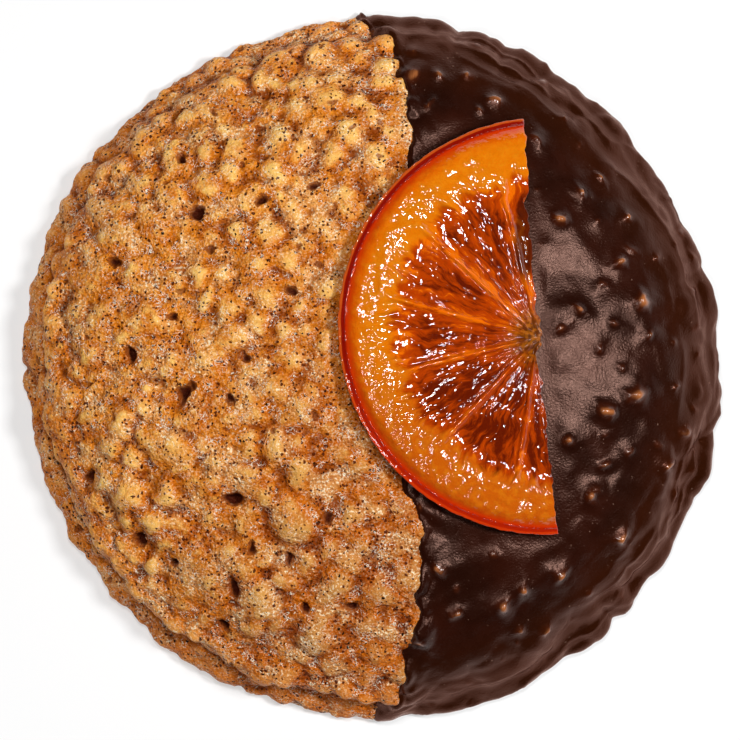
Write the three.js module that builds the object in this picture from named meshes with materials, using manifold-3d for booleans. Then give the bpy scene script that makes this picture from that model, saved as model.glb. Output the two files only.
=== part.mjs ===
// A round lebkuchen, baked with a nubbly top, half dipped in dark chocolate on a slant
// and topped with half a slice of candied orange. Millimetres, +Z up, standing on z = 0
// with the middle of its outline on the Z axis. +X is the dipped side.
//
// Three solids: the biscuit, whose dipped side is recessed; the chocolate, a shell that
// fits over that recess with a thin gap; and the half slice that lies over both.

import * as THREE from 'three';
import Module from 'manifold-3d';

// ---- Driving dimensions: the biscuit ----

// Half section of the biscuit: distance from the axis and height, crown to floor.
const CRUST_PROFILE = [
  [0, 18.6], [6, 18.5], [14, 17.9], [25, 16.0], [34, 12.9], [39.6, 9.2],
  [42.4, 6.0], [43.5, 3.9], [44.6, 2.4], [45.0, 1.2], [44.4, 0],
];
const WALL_RADIUS = CRUST_PROFILE[6][0]; // where the dome's shoulder meets its foot
const FOOT_RADIUS = CRUST_PROFILE[9][0];
// How the outline departs from a circle: lobes, amplitude, direction of a lobe in degrees.
const OUTLINE_WAVES = [[2, 0.41, -56.5], [3, 0.1, 48.4], [4, 0.2, -11.5], [5, 0.14, 2.9]];
const FLAT_FOOT_HEIGHT = 2.4; // relief dies out over this height, so the underside is flat

// Baked nubs. The largest are placed by hand, as plan position, radius and height,
// and the rest are packed round them.
const LARGE_NUBS = [
  [-36.3, 11.4, 3.0, 1.3], [-34.3, 6.8, 2.4, 1.1], [-30.5, 12.7, 2.6, 1.1],
  [-25.5, 21.9, 2.6, 1.0], [-20.7, 33.2, 2.7, 1.0], [-5.4, 34.1, 2.6, 1.1],
  [-2.3, 21.3, 2.8, 1.1], [-21.4, 1.0, 2.8, 1.1], [-25.5, -10.6, 3.2, 1.4],
  [-31.1, -16.2, 3.1, 1.4], [-32.3, -6.7, 2.5, 1.1], [-39.5, -3.8, 2.6, 1.1],
  [-35.4, -18.0, 2.4, 1.0], [-9.9, -19.2, 3.4, 1.3], [-12.2, -10.6, 2.9, 1.2],
  [-14.5, -29.6, 3.2, 1.2], [-6.3, -34.3, 3.1, 1.2], [-38.2, -13.3, 2.3, 1.0],
  [-25.5, -33.6, 2.6, 1.1], [-13.4, 16.5, 2.3, 0.9],
];
const NUB_SEED = 11;
const NUB_ATTEMPTS = 9000;
const NUB_RADIUS = [1.6, 2.9];
const NUB_STEEPNESS = [0.3, 0.46]; // height as a share of the radius
const NUB_PACKING = 0.68; // centres keep this share of the two radii apart
const NUB_MERGE = 4; // power that joins overlapping nubs, higher for sharper creases

// Open pores: plan position, radius and depth.
const PORES = [
  [-24.2, -3.1, 1.4, 1.7], [-24.2, 27.2, 0.9, 1.2], [-22.3, 19.8, 1.0, 1.3],
  [-14.1, 21.1, 0.9, 1.2], [-7.1, 23.3, 0.9, 1.1], [-25.3, 6.7, 0.8, 1.1],
  [-30.9, 1.6, 1.0, 1.3], [-15.5, 1.5, 0.8, 1.1], [-10.7, 10.1, 0.8, 1.1],
  [-18.1, -3.7, 0.8, 1.1], [-17.6, -17.0, 1.5, 1.6], [-10.7, -24.9, 0.9, 1.2],
  [-18.1, -28.2, 1.0, 1.3], [-15.3, -23.3, 0.8, 1.1], [-8.3, -30.6, 1.1, 1.4],
  [-2.5, -30.9, 1.0, 1.3], [-19.0, -33.2, 1.1, 1.4], [-29.8, -22.0, 1.1, 1.3],
  [-25.5, -25.3, 1.0, 1.3], [-36.3, -13.8, 0.9, 1.2], [-32.9, 13.7, 0.9, 1.1],
  [-5.5, -19.0, 0.9, 1.1],
];

// ---- Driving dimensions: the chocolate ----

const DIP_EDGE_X = 5.8; // where the slanted dip plane meets the height of the crown
const DIP_LEAN = 0.27; // how far the dip plane runs back for each millimetre down
// How the edge of the chocolate strays from that plane: position along Y, offset in X.
const DIP_STRAYS = [
  [-50, -0.7], [-45.7, -0.7], [-43.7, 0.1], [-41.1, 0.7], [-38.5, 0.4], [-36.3, 0.8],
  [-32, 1.3], [-25, 1.0], [-20.3, 1.4], [-17.7, 0.3], [-15.8, -1.1], [-5, 0], [10, 0],
  [28.4, 0.2], [30.4, 1.1], [32.3, 0.3], [38.8, 0.2], [42, -0.3], [44.5, -2.5], [50, -5],
];
const COAT_PROUD = 0.4; // the coat stands this much above the bare crust
const COAT_INNER_DEPTH = 1.1; // inner face of the coat below the bare crust
const CLEARANCE = 0.3; // gap between touching pieces
const COAT_SOFTENING = 0.4; // share of the nub relief that still shows through the coat

// Nut bits and nub tips under the chocolate: plan position, radius and height.
const COAT_BUMPS = [
  [21.9, 36.9, 2.4, 1.3], [13.5, 41.0, 1.8, 1.1], [24.4, 31.7, 1.6, 1.0],
  [20.5, 29.8, 1.8, 1.0], [29.1, 24.5, 1.6, 1.1], [26.6, 22.3, 1.5, 0.9],
  [23.9, 19.2, 1.8, 1.2], [33.3, 18.8, 1.5, 1.0], [39.7, 17.5, 1.9, 1.1],
  [31.7, 13.2, 1.6, 1.0], [34.8, 8.5, 2.0, 1.2], [26.1, 7.5, 1.7, 1.0],
  [41.0, 10.1, 1.7, 1.0], [33.7, -3.3, 2.4, 1.4], [30.0, -5.1, 1.8, 1.1],
  [25.3, -9.0, 1.7, 1.0], [28.5, -16.2, 1.7, 1.0], [32.0, -21.4, 2.6, 1.5],
  [24.2, -26.1, 1.9, 1.2], [16.7, -30.1, 2.2, 1.3], [19.4, -28.1, 1.8, 1.1],
  [22.2, -33.5, 1.9, 1.2], [10.9, -31.0, 2.0, 1.2], [9.0, -25.5, 2.0, 1.1],
  [40.2, -8.1, 1.8, 1.1], [38.1, -12.3, 1.7, 1.0], [38.9, -16.3, 1.7, 1.0],
  [12.4, 37.5, 1.7, 1.0], [5.3, 37.4, 1.7, 1.0],
];

// ---- Driving dimensions: the orange slice ----

const SLICE_CENTRE = [22.6, 5.5]; // middle of the fruit's circle, in plan
const SLICE_RADIUS = 26.9;
const SLICE_HUB = [21.6, 4.0]; // where the segments meet, on the cut
const SLICE_CUT = [94.1, 275.9]; // directions of the two halves of the cut, in degrees
// How the torn cut strays from those two lines: position along Y, offset in X.
const CUT_STRAYS = [
  [-22, 0], [-18.4, -0.2], [-9.3, -0.3], [-5.7, -0.3], [-3.2, -0.5], [-1.9, -0.2],
  [0.1, -0.6], [1.9, -0.8], [3.1, 0.3], [6.3, 0.2], [7.9, -0.4], [9.4, 0.1], [11.1, -0.3],
  [18.7, -0.3], [21.6, -0.7], [23.2, 0], [33, 0],
];
const TORN_SHARE = 0.12; // share of the sweep that the torn cut draws along
const SLICE_LIFT = 1.0; // underside above the bare crust
const RIM_THICKNESS = 2.8;
const PULP_THICKNESS = 1.9;
const MEMBRANES = [103, 137, 165, 194, 227, 261]; // directions from the hub, in degrees
const MEMBRANE_HEIGHT = 0.5;
const MEMBRANE_WIDTH = 1.1;
const HUB_RADIUS = 5;
const HUB_HEIGHT = 0.5;
const PITH_WIDTH = 6.5; // from the pulp to the outside of the rind
const RIND_ROUNDING = [1.6, 0.9]; // width and drop of the rounded edge of the rind
const PRESSED_MARGIN = 2.0; // relief is pressed down under the slice, fading in over this
const PRESSED_SHARE = 0.3; // share of the relief left under the slice

// ---- Mesh fineness ----

const CRUST_RINGS = 37;
const COAT_RINGS = 31;
const CORE_RINGS = 15;
const SLICE_SPOKES = 49;
const SLICE_RINGS = 13;
const DIP_STEP = 1.2; // spacing of the points along the dip edge
const REACH = 60; // half width of the block that cuts along the dip plane

const TAU = Math.PI * 2;
const CROWN_HEIGHT = CRUST_PROFILE[0][1];

// ---- Small helpers ----

const radians = (degrees) => (degrees * Math.PI) / 180;

function smoothStep(low, high, value) {
  const t = Math.min(1, Math.max(0, (value - low) / (high - low)));
  return t * t * (3 - 2 * t);
}

// Straight-line interpolation in a list of [position, value] pairs.
function interpolate(pairs, position) {
  const next = pairs.findIndex(([start]) => start > position);
  if (next === 0) return pairs[0][1];
  if (next === -1) return pairs[pairs.length - 1][1];
  const [start, from] = pairs[next - 1];
  const [end, to] = pairs[next];
  return from + ((to - from) * (position - start)) / (end - start);
}

// Repeatable random numbers from 0 to 1.
function randomStream(seed) {
  let state = seed >>> 0;
  return () => {
    state = (state + 0x6d2b79f5) >>> 0;
    let mixed = Math.imul(state ^ (state >>> 15), 1 | state);
    mixed = (mixed + Math.imul(mixed ^ (mixed >>> 7), 61 | mixed)) ^ mixed;
    return ((mixed ^ (mixed >>> 14)) >>> 0) / 4294967296;
  };
}

// ---- The crust as a surface ----
// A place on the crust is [u, v]: a direction, and the distance walked from the crown.

const meridian = new THREE.SplineCurve(CRUST_PROFILE.map(([r, z]) => new THREE.Vector2(r, z)));
const MERIDIAN_LENGTH = meridian.getLength();
const WALK_SAMPLES = 400;
// Plan radius against the distance walked, out to the widest point.
const walkTable = [];
for (let i = 0; i <= WALK_SAMPLES; i += 1) {
  const walked = (i / WALK_SAMPLES) * MERIDIAN_LENGTH;
  const { x: radius } = meridian.getPointAt(i / WALK_SAMPLES);
  if (i > 0 && radius <= walkTable[i - 1][0]) break;
  walkTable.push([radius, walked]);
}

function outlineStretch(angle) {
  const wave = (total, [lobes, amplitude, direction]) =>
    total + amplitude * Math.cos(lobes * (angle - radians(direction)));
  return OUTLINE_WAVES.reduce(wave, 0) / FOOT_RADIUS;
}

// Distance walked and direction of the crust point above a plan position.
function crustPlace(x, y) {
  const angle = Math.atan2(y, x);
  const radius = Math.hypot(x, y) / (1 + outlineStretch(angle));
  const walked = interpolate(walkTable, radius);
  return [walked * Math.cos(angle), walked * Math.sin(angle)];
}

// The point of the smooth crust at a place, moved out along the surface by offset.
function crustPoint([u, v], offset) {
  const walked = Math.min(Math.hypot(u, v), MERIDIAN_LENGTH);
  const angle = Math.atan2(v, u);
  const along = walked / MERIDIAN_LENGTH;
  const { x: radius, y: height } = meridian.getPointAt(along);
  const tangent = meridian.getTangentAt(along);
  const settled = offset * smoothStep(0, FLAT_FOOT_HEIGHT, height);
  const out = (radius - tangent.y * settled) * (1 + outlineStretch(angle));
  return [out * Math.cos(angle), out * Math.sin(angle), height + tangent.x * settled];
}

function crustHeight(x, y) {
  return crustPoint(crustPlace(x, y), 0)[2];
}

// ---- Relief ----

function placed([x, y, radius, height]) {
  const [u, v] = crustPlace(x, y);
  return { u, v, radius, height };
}

function packNubs() {
  const draw = randomStream(NUB_SEED);
  const nubs = LARGE_NUBS.map(placed);
  for (let attempt = 0; attempt < NUB_ATTEMPTS; attempt += 1) {
    const walked = MERIDIAN_LENGTH * Math.sqrt(draw());
    const angle = TAU * draw();
    const radius = NUB_RADIUS[0] + (NUB_RADIUS[1] - NUB_RADIUS[0]) * draw();
    const steepness = NUB_STEEPNESS[0] + (NUB_STEEPNESS[1] - NUB_STEEPNESS[0]) * draw();
    const u = walked * Math.cos(angle);
    const v = walked * Math.sin(angle);
    const isClear = (nub) =>
      Math.hypot(nub.u - u, nub.v - v) > NUB_PACKING * (nub.radius + radius);
    if (nubs.every(isClear)) nubs.push({ u, v, radius, height: radius * steepness });
  }
  return nubs;
}

const nubs = packNubs();
const pores = PORES.map(placed);
const coatBumps = COAT_BUMPS.map(placed);

// Height of one rounded bump at a place, zero outside its radius.
function bumpHeight(bump, [u, v], roundness) {
  const share = Math.hypot(bump.u - u, bump.v - v) / bump.radius;
  return share < 1 ? bump.height * (1 - share * share) ** roundness : 0;
}

function nubRelief(place) {
  const joined = nubs.reduce((sum, nub) => sum + bumpHeight(nub, place, 1.3) ** NUB_MERGE, 0);
  return joined ** (1 / NUB_MERGE);
}

function poreRelief(place) {
  return -pores.reduce((deepest, pore) => Math.max(deepest, bumpHeight(pore, place, 1)), 0);
}

function coatBumpRelief(place) {
  return coatBumps.reduce((top, bump) => Math.max(top, bumpHeight(bump, place, 2)), 0);
}

// Share of the relief that is left: little under the orange slice, all of it clear of it.
function unpressed(place) {
  const [x, y] = crustPoint(place, 0);
  const beyondRind = Math.hypot(x - SLICE_CENTRE[0], y - SLICE_CENTRE[1]) - SLICE_RADIUS;
  const [upper, lower] = SLICE_CUT.map(radians);
  const cut = y > SLICE_HUB[1] ? upper : lower;
  const alongCut = (y - SLICE_HUB[1]) / Math.sin(cut);
  const beyondCut = x - (SLICE_HUB[0] + alongCut * Math.cos(cut));
  const clear = smoothStep(0, PRESSED_MARGIN, Math.max(beyondRind, beyondCut));
  return PRESSED_SHARE + (1 - PRESSED_SHARE) * clear;
}

function crustRelief(place) {
  return nubRelief(place) * unpressed(place) + poreRelief(place);
}

function coatRelief(place) {
  const lumps = COAT_SOFTENING * nubRelief(place) + coatBumpRelief(place);
  return COAT_PROUD + lumps * unpressed(place);
}

// ---- Meshes and solids ----

function meshGeometry(positions, triangles) {
  const geometry = new THREE.BufferGeometry();
  geometry.setAttribute('position', new THREE.Float32BufferAttribute(positions.flat(), 3));
  geometry.setIndex(triangles.flat());
  return geometry;
}

// Triangles between rings of a disc: ring k holds 6k points, and ring 0 is one point.
function discTriangles(rings) {
  const first = (ring) => (ring === 0 ? 0 : 1 + 3 * ring * (ring - 1));
  const at = (ring, index) => (ring === 0 ? 0 : first(ring) + (index % (6 * ring)));
  const triangles = [];
  for (let ring = 1; ring <= rings; ring += 1) {
    for (let sector = 0; sector < 6; sector += 1) {
      for (let step = 0; step < ring; step += 1) {
        const outer = sector * ring + step;
        const inner = sector * (ring - 1) + step;
        triangles.push([at(ring, outer), at(ring, outer + 1), at(ring - 1, inner)]);
        if (step < ring - 1) {
          triangles.push([at(ring - 1, inner), at(ring, outer + 1), at(ring - 1, inner + 1)]);
        }
      }
    }
  }
  return triangles;
}

// A closed dome: rings of surface points from the crown to the edge, and a flat underside.
function domeGeometry(rings, pointAt) {
  const positions = [pointAt([0, 0])];
  for (let ring = 1; ring <= rings; ring += 1) {
    for (let index = 0; index < 6 * ring; index += 1) {
      const walked = (ring / rings) * MERIDIAN_LENGTH;
      const angle = (index / (6 * ring)) * TAU;
      positions.push(pointAt([walked * Math.cos(angle), walked * Math.sin(angle)]));
    }
  }
  const triangles = discTriangles(rings);
  const edgeCount = 6 * rings;
  const edgeStart = positions.length - edgeCount;
  const underside = positions.length;
  positions.push([0, 0, positions[edgeStart][2]]);
  for (let index = 0; index < edgeCount; index += 1) {
    triangles.push([edgeStart + ((index + 1) % edgeCount), edgeStart + index, underside]);
  }
  return meshGeometry(positions, triangles);
}

// The crust moved inwards on every side by depth, without relief, with a plain wall.
function innerPoint(place, depth) {
  const [x, y, z] = crustPoint(place, -depth);
  const stretch = 1 + outlineStretch(Math.atan2(y, x));
  const radius = Math.min(Math.hypot(x, y), (WALL_RADIUS - depth) * stretch);
  const scale = radius / Math.max(Math.hypot(x, y), 1e-9);
  return [x * scale, y * scale, Math.max(z, depth)];
}

// Everything on the dipped side of the dip plane, moved along X by shift.
function dipZoneGeometry(shift) {
  const outline = [new THREE.Vector2(REACH, -REACH), new THREE.Vector2(REACH, REACH)];
  for (let y = REACH; y > -REACH - DIP_STEP / 2; y -= DIP_STEP) {
    outline.push(new THREE.Vector2(DIP_EDGE_X + interpolate(DIP_STRAYS, y) + shift, y));
  }
  const block = new THREE.ExtrudeGeometry(new THREE.Shape(outline), {
    depth: REACH, bevelEnabled: false,
  });
  block.translate(0, 0, -REACH / 2);
  const lean = new THREE.Matrix4().makeShear(0, 0, 0, 0, DIP_LEAN, 0);
  block.translate(0, 0, -CROWN_HEIGHT).applyMatrix4(lean).translate(0, 0, CROWN_HEIGHT);
  return block;
}

const wasm = await Module();
wasm.setup();

// Points that coincide are joined, so that the solid is closed.
function solidOf(geometry) {
  const numbers = new Map();
  const vertProperties = [];
  const position = geometry.getAttribute('position');
  const numberOf = (index) => {
    const point = [position.getX(index), position.getY(index), position.getZ(index)];
    const key = point.map((value) => Math.round(value * 1e4)).join(' ');
    if (!numbers.has(key)) {
      numbers.set(key, numbers.size);
      vertProperties.push(...point);
    }
    return numbers.get(key);
  };
  const corners = geometry.index ? [...geometry.index.array] : [...Array(position.count).keys()];
  const triVerts = new Uint32Array(corners.map(numberOf));
  return new wasm.Manifold(new wasm.Mesh({
    numProp: 3, vertProperties: new Float32Array(vertProperties), triVerts,
  }));
}

function geometryOf(solid) {
  const { vertProperties, triVerts } = solid.getMesh();
  const geometry = new THREE.BufferGeometry();
  geometry.setAttribute('position', new THREE.BufferAttribute(new Float32Array(vertProperties), 3));
  geometry.setIndex([...triVerts]);
  return geometry;
}

function biscuitGeometry() {
  const crust = solidOf(domeGeometry(CRUST_RINGS, (place) => crustPoint(place, crustRelief(place))));
  const depth = COAT_INNER_DEPTH + CLEARANCE;
  const core = solidOf(domeGeometry(CORE_RINGS, (place) => innerPoint(place, depth)));
  return geometryOf(crust.subtract(solidOf(dipZoneGeometry(0))).add(core));
}

function chocolateGeometry() {
  const coat = solidOf(domeGeometry(COAT_RINGS, (place) => crustPoint(place, coatRelief(place))));
  const hollow = solidOf(domeGeometry(CORE_RINGS, (place) => innerPoint(place, COAT_INNER_DEPTH)));
  return geometryOf(coat.intersect(solidOf(dipZoneGeometry(CLEARANCE))).subtract(hollow));
}

// ---- The orange slice ----

// Distance from the hub to the outside of the rind in one direction.
function sliceReach(angle) {
  const [dx, dy] = [SLICE_HUB[0] - SLICE_CENTRE[0], SLICE_HUB[1] - SLICE_CENTRE[1]];
  const toward = dx * Math.cos(angle) + dy * Math.sin(angle);
  return Math.sqrt(toward * toward + SLICE_RADIUS ** 2 - dx * dx - dy * dy) - toward;
}

// Height of the top face above the underside: sunken pulp between membranes, a thick rim.
function sliceThickness(angle, distance) {
  const toRind = sliceReach(angle) - distance;
  const offMembrane = (direction) => Math.abs(distance * Math.sin(angle - radians(direction)));
  const nearest = Math.min(...MEMBRANES.map(offMembrane));
  const membrane = MEMBRANE_HEIGHT * (1 - smoothStep(0, MEMBRANE_WIDTH, nearest));
  const inPulp = smoothStep(PITH_WIDTH - 1, PITH_WIDTH + 2, toRind);
  const pulp = PULP_THICKNESS + inPulp * membrane;
  const hub = HUB_HEIGHT * (1 - smoothStep(0, HUB_RADIUS, distance));
  const rim = (RIM_THICKNESS - PULP_THICKNESS) * (1 - inPulp);
  const [roundWidth, roundDrop] = RIND_ROUNDING;
  return pulp + hub + rim - roundDrop * (1 - smoothStep(0, roundWidth, toRind));
}

// A point between the hub and the rind, with the two edges of the sweep along the torn cut.
// Share runs from 0 on the underside to 1 on the top face.
function slicePoint(sweep, reach, share) {
  const [start, end] = SLICE_CUT.map(radians);
  const angle = start + (end - start) * sweep;
  const distance = sliceReach(angle) * reach;
  const y = SLICE_HUB[1] + distance * Math.sin(angle);
  const torn = Math.max(0, 1 - Math.min(sweep, 1 - sweep) / TORN_SHARE);
  const x = SLICE_HUB[0] + distance * Math.cos(angle) + torn * interpolate(CUT_STRAYS, y);
  return [x, y, crustHeight(x, y) + SLICE_LIFT + share * sliceThickness(angle, distance)];
}

// One face of the slice: the hub, then a row of points for each ring.
function sliceFace(share) {
  const positions = [slicePoint(0.5, 0, share)];
  for (let ring = 1; ring <= SLICE_RINGS; ring += 1) {
    for (let spoke = 0; spoke <= SLICE_SPOKES; spoke += 1) {
      positions.push(slicePoint(spoke / SLICE_SPOKES, ring / SLICE_RINGS, share));
    }
  }
  return positions;
}

function sliceGeometry() {
  const top = sliceFace(1);
  const positions = [...top, ...sliceFace(0)];
  const at = (ring, spoke) => (ring === 0 ? 0 : 1 + (ring - 1) * (SLICE_SPOKES + 1) + spoke);
  const below = (index) => index + top.length;
  const triangles = [];
  const addBoth = (a, b, c) => triangles.push([a, b, c], [below(a), below(c), below(b)]);
  for (let spoke = 0; spoke < SLICE_SPOKES; spoke += 1) {
    addBoth(0, at(1, spoke), at(1, spoke + 1));
    for (let ring = 1; ring < SLICE_RINGS; ring += 1) {
      addBoth(at(ring, spoke), at(ring + 1, spoke), at(ring + 1, spoke + 1));
      addBoth(at(ring, spoke), at(ring + 1, spoke + 1), at(ring, spoke + 1));
    }
  }
  const edge = [];
  for (let ring = 0; ring < SLICE_RINGS; ring += 1) edge.push(at(ring, 0));
  for (let spoke = 0; spoke < SLICE_SPOKES; spoke += 1) edge.push(at(SLICE_RINGS, spoke));
  for (let ring = SLICE_RINGS; ring > 0; ring -= 1) edge.push(at(ring, SLICE_SPOKES));
  edge.forEach((here, index) => {
    const next = edge[(index + 1) % edge.length];
    triangles.push([here, below(here), below(next)], [here, below(next), next]);
  });
  return meshGeometry(positions, triangles);
}

// ---- The three pieces ----

function piece(name, geometry, colour, roughness) {
  geometry.computeVertexNormals();
  const material = new THREE.MeshStandardMaterial({ color: colour, roughness, metalness: 0 });
  const mesh = new THREE.Mesh(geometry, material);
  mesh.name = name;
  return mesh;
}

const group = new THREE.Group();
group.add(piece('biscuit', biscuitGeometry(), 0xc8854a, 0.75));
group.add(piece('chocolate', chocolateGeometry(), 0x391509, 0.35));
group.add(piece('orange_slice', sliceGeometry(), 0xc85a12, 0.2));

export default group;
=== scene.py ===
# %% [markdown]
# # A half-dipped lebkuchen
# A round nut-and-spice biscuit, baked with a nubbly top, dipped on one side in dark
# chocolate and topped with half a slice of candied orange. The solids come from the
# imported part. This lesson dresses each of them: a finer mesh with the same form, and a
# finish made only of nodes. Lengths are worked out in millimetres and go into Blender
# in metres, in the part's own frame: +Z up, +X towards the chocolate.

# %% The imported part
import math

import bpy
import numpy as np
from mathutils import Matrix, Vector


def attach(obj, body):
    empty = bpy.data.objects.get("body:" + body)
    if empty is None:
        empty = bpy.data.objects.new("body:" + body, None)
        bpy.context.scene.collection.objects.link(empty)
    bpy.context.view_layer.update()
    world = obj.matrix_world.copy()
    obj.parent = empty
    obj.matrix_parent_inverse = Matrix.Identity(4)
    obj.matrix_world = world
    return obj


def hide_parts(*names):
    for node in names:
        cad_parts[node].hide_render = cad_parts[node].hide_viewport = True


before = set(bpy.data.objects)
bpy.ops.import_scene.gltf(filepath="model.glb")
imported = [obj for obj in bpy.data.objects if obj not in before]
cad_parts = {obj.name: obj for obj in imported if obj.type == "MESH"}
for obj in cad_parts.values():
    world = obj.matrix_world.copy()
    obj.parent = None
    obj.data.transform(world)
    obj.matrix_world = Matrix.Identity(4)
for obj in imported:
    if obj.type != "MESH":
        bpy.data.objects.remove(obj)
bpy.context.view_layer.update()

MM = 0.001

# %% [markdown]
# ## Chance that repeats
# Nubs, pores and grains look scattered, but the same script has to give the same
# biscuit every time. NumPy's own generator would do. A short integer recipe is used
# instead, because the solids were packed with nubs from that very recipe.

# %% Seeded draws and smooth steps
WORD = 0xFFFFFFFF
DRAW_STEP = 0x6D2B79F5


def random_stream(seed):
    """Repeatable numbers from 0 to 1."""
    state = seed & WORD
    while True:
        state = (state + DRAW_STEP) & WORD
        mixed = ((state ^ (state >> 15)) * (1 | state)) & WORD
        stirred = ((mixed ^ (mixed >> 7)) * (61 | mixed)) & WORD
        mixed = ((mixed + stirred) & WORD) ^ mixed
        yield ((mixed ^ (mixed >> 14)) & WORD) / (WORD + 1)


def smooth_step(low, high, value):
    t = np.clip((value - low) / (high - low), 0, 1)
    return t * t * (3 - 2 * t)


def between(low, high, share):
    return low + (high - low) * share


print("first draws:", [round(share, 3) for share, _ in zip(random_stream(1), range(4))])

# %% [markdown]
# ## Lumpy noise
# Fine crumb and slow swells need noise at any point of a mesh. `mathutils.noise` gives
# it one point at a call. Hashing the corners of a grid with NumPy is quicker. Waves
# bend the grid, or else it would show.

# %% Value noise and pebbles for whole arrays
CELL_PRIMES = 73856093, 19349663, 83492791
SEED_PRIME = 2654435761
MIXERS = [(15, 2246822519), (13, 3266489917)]
GRID_SHIFT = 4096  # keeps cell numbers above zero
GRID_BEND, BEND_RATE = 0.4, 1.9
PEBBLE_REACH = 0.8


def lattice_hash(cells, seed):
    """A number from 0 to 1 for each integer cell."""
    x, y, z = (cells.astype(np.uint64) * np.array(CELL_PRIMES, np.uint64)).T
    mixed = x ^ y ^ z ^ (seed * SEED_PRIME % (WORD + 1))
    for shift, factor in MIXERS:
        mixed = (mixed ^ (mixed >> shift)) * factor & WORD
    return ((mixed ^ (mixed >> 16)) & WORD).astype(float) / WORD


def swell(points, size, seed):
    """Smooth noise from -1 to 1 with lumps about size millimetres across."""
    straight = points / size
    bent = straight + GRID_BEND * np.sin(BEND_RATE * np.roll(straight, 1, axis=1) + seed)
    place = bent + GRID_SHIFT
    cell = np.floor(place).astype(np.int64)
    part = place - cell
    eased = part * part * part * (part * (part * 6 - 15) + 10)
    total = np.zeros(len(points))
    for corner in np.ndindex(2, 2, 2):
        weight = np.prod(np.where(corner, eased, 1 - eased), axis=1)
        total += weight * lattice_hash(cell + np.array(corner), seed)
    return total * 2 - 1


def lumps(points, layers):
    """Swells added up; each layer is a height, the size of its lumps and a seed."""
    return sum(height * swell(points, size, seed) for height, size, seed in layers)


def pebbles(points, size, seed):
    """Rounded pebbles packed about size millimetres apart: 1 on top, 0 in the gaps."""
    place = points / size + GRID_SHIFT
    cell = np.floor(place).astype(np.int64)
    nearest = np.full(len(points), np.inf)
    for step in np.ndindex(3, 3, 3):
        other = cell + np.array(step) - 1
        middle = np.stack([lattice_hash(other, seed + axis) for axis in range(3)], axis=1)
        nearest = np.minimum(nearest, np.sum((other + middle - place) ** 2, axis=1))
    return np.clip(1 - nearest / PEBBLE_REACH, 0, 1)


def flat(across, along):
    """Points of a flat sheet, for noise that follows a direction of a surface."""
    return np.stack([across, along, 0 * across], axis=1)


# %% [markdown]
# ## The shape of the crust
# The biscuit is a dome with a small foot: dough that slumped a little before it set. A
# Screw modifier could turn it, but nubs, pores and the chocolate edge have to be placed
# on it. So a place on it is u and v, which hold a direction and the distance walked
# from the crown along the half section.

# %% Half section and outline
CRUST_PROFILE = np.array([
    [0, 18.6], [6, 18.5], [14, 17.9], [25, 16.0], [34, 12.9], [39.6, 9.2],
    [42.4, 6.0], [43.5, 3.9], [44.6, 2.4], [45.0, 1.2], [44.4, 0],
])
CROWN_HEIGHT = CRUST_PROFILE[0, 1]
WALL_RADIUS = CRUST_PROFILE[6, 0]
FOOT_RADIUS = CRUST_PROFILE[9, 0]
OUTLINE_WAVES = [[2, 0.41, -56.5], [3, 0.1, 48.4], [4, 0.2, -11.5], [5, 0.14, 2.9]]
SECTION_STEPS = 200
UNDER_WALK = 9.0  # the underside, squeezed into this much more walking


def section_point(t):
    """The half section as a smooth curve through its points, for t from 0 to 1."""
    last = len(CRUST_PROFILE) - 1
    position = np.clip(t, 0, 1) * last
    whole = np.minimum(np.floor(position).astype(int), last)
    w = (position - whole)[:, None]
    before, here, ahead, beyond = (
        CRUST_PROFILE[np.clip(whole + step, 0, last)] for step in (-1, 0, 1, 2)
    )
    leave, arrive = (ahead - before) / 2, (beyond - here) / 2
    cubic = 2 * here - 2 * ahead + leave + arrive
    square = 3 * ahead - 3 * here - 2 * leave - arrive
    return ((cubic * w + square) * w + leave) * w + here


steps = np.linspace(0, 1, SECTION_STEPS + 1)
chords = np.linalg.norm(np.diff(section_point(steps), axis=0), axis=1)
walk_at_step = np.concatenate([[0], np.cumsum(chords)])
CRUST_WALK = walk_at_step[-1]
print(f"crown to floor along the crust: {CRUST_WALK:.2f} mm")

# %% [markdown]
# ## From a place to a point
# Relief stands square to the surface. A Displace modifier would do that too, but it
# can't die away in the flat of the foot. Slow waves make the outline less than round.
# The way back, from plan to place, is a table.

# %% Points of the crust
FLAT_FOOT_HEIGHT = 1.3
NUDGE = 0.0001
TABLE_STEPS = 400


def outline_stretch(angle):
    """Share by which the outline is wider, or narrower, in each direction."""
    waves = (
        size * np.cos(lobes * (angle - math.radians(direction)))
        for lobes, size, direction in OUTLINE_WAVES
    )
    return sum(waves) / FOOT_RADIUS


def turned(angle, radius, height):
    return np.stack([radius * np.cos(angle), radius * np.sin(angle), height], axis=1)


def crust_point(u, v, offset=0.0):
    """Points of the crust, moved out along it by offset, as an array of x, y, z."""
    walked, angle = np.hypot(u, v), np.arctan2(v, u)
    t = np.interp(walked, walk_at_step, steps)
    section = section_point(t)
    ahead, behind = section_point(t + NUDGE), section_point(t - NUDGE)
    tangent = (ahead - behind) / np.linalg.norm(ahead - behind, axis=1)[:, None]
    settled = offset * smooth_step(0, FLAT_FOOT_HEIGHT, section[:, 1])
    beneath = np.clip((walked - CRUST_WALK) / UNDER_WALK, 0, 1)
    radius = section[:, 0] * (1 - beneath) - tangent[:, 1] * settled
    height = section[:, 1] + tangent[:, 0] * settled
    return turned(angle, radius * (1 + outline_stretch(angle)), height)


def inner_point(u, v, depth):
    """Points inside the crust by depth on every side, with a plain wall and no relief."""
    points = crust_point(u, v, -depth)
    angle = np.arctan2(points[:, 1], points[:, 0])
    wall = (WALL_RADIUS - depth) * (1 + outline_stretch(angle))
    radius = np.minimum(np.hypot(points[:, 0], points[:, 1]), wall)
    return turned(angle, radius, np.maximum(points[:, 2], depth))


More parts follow.
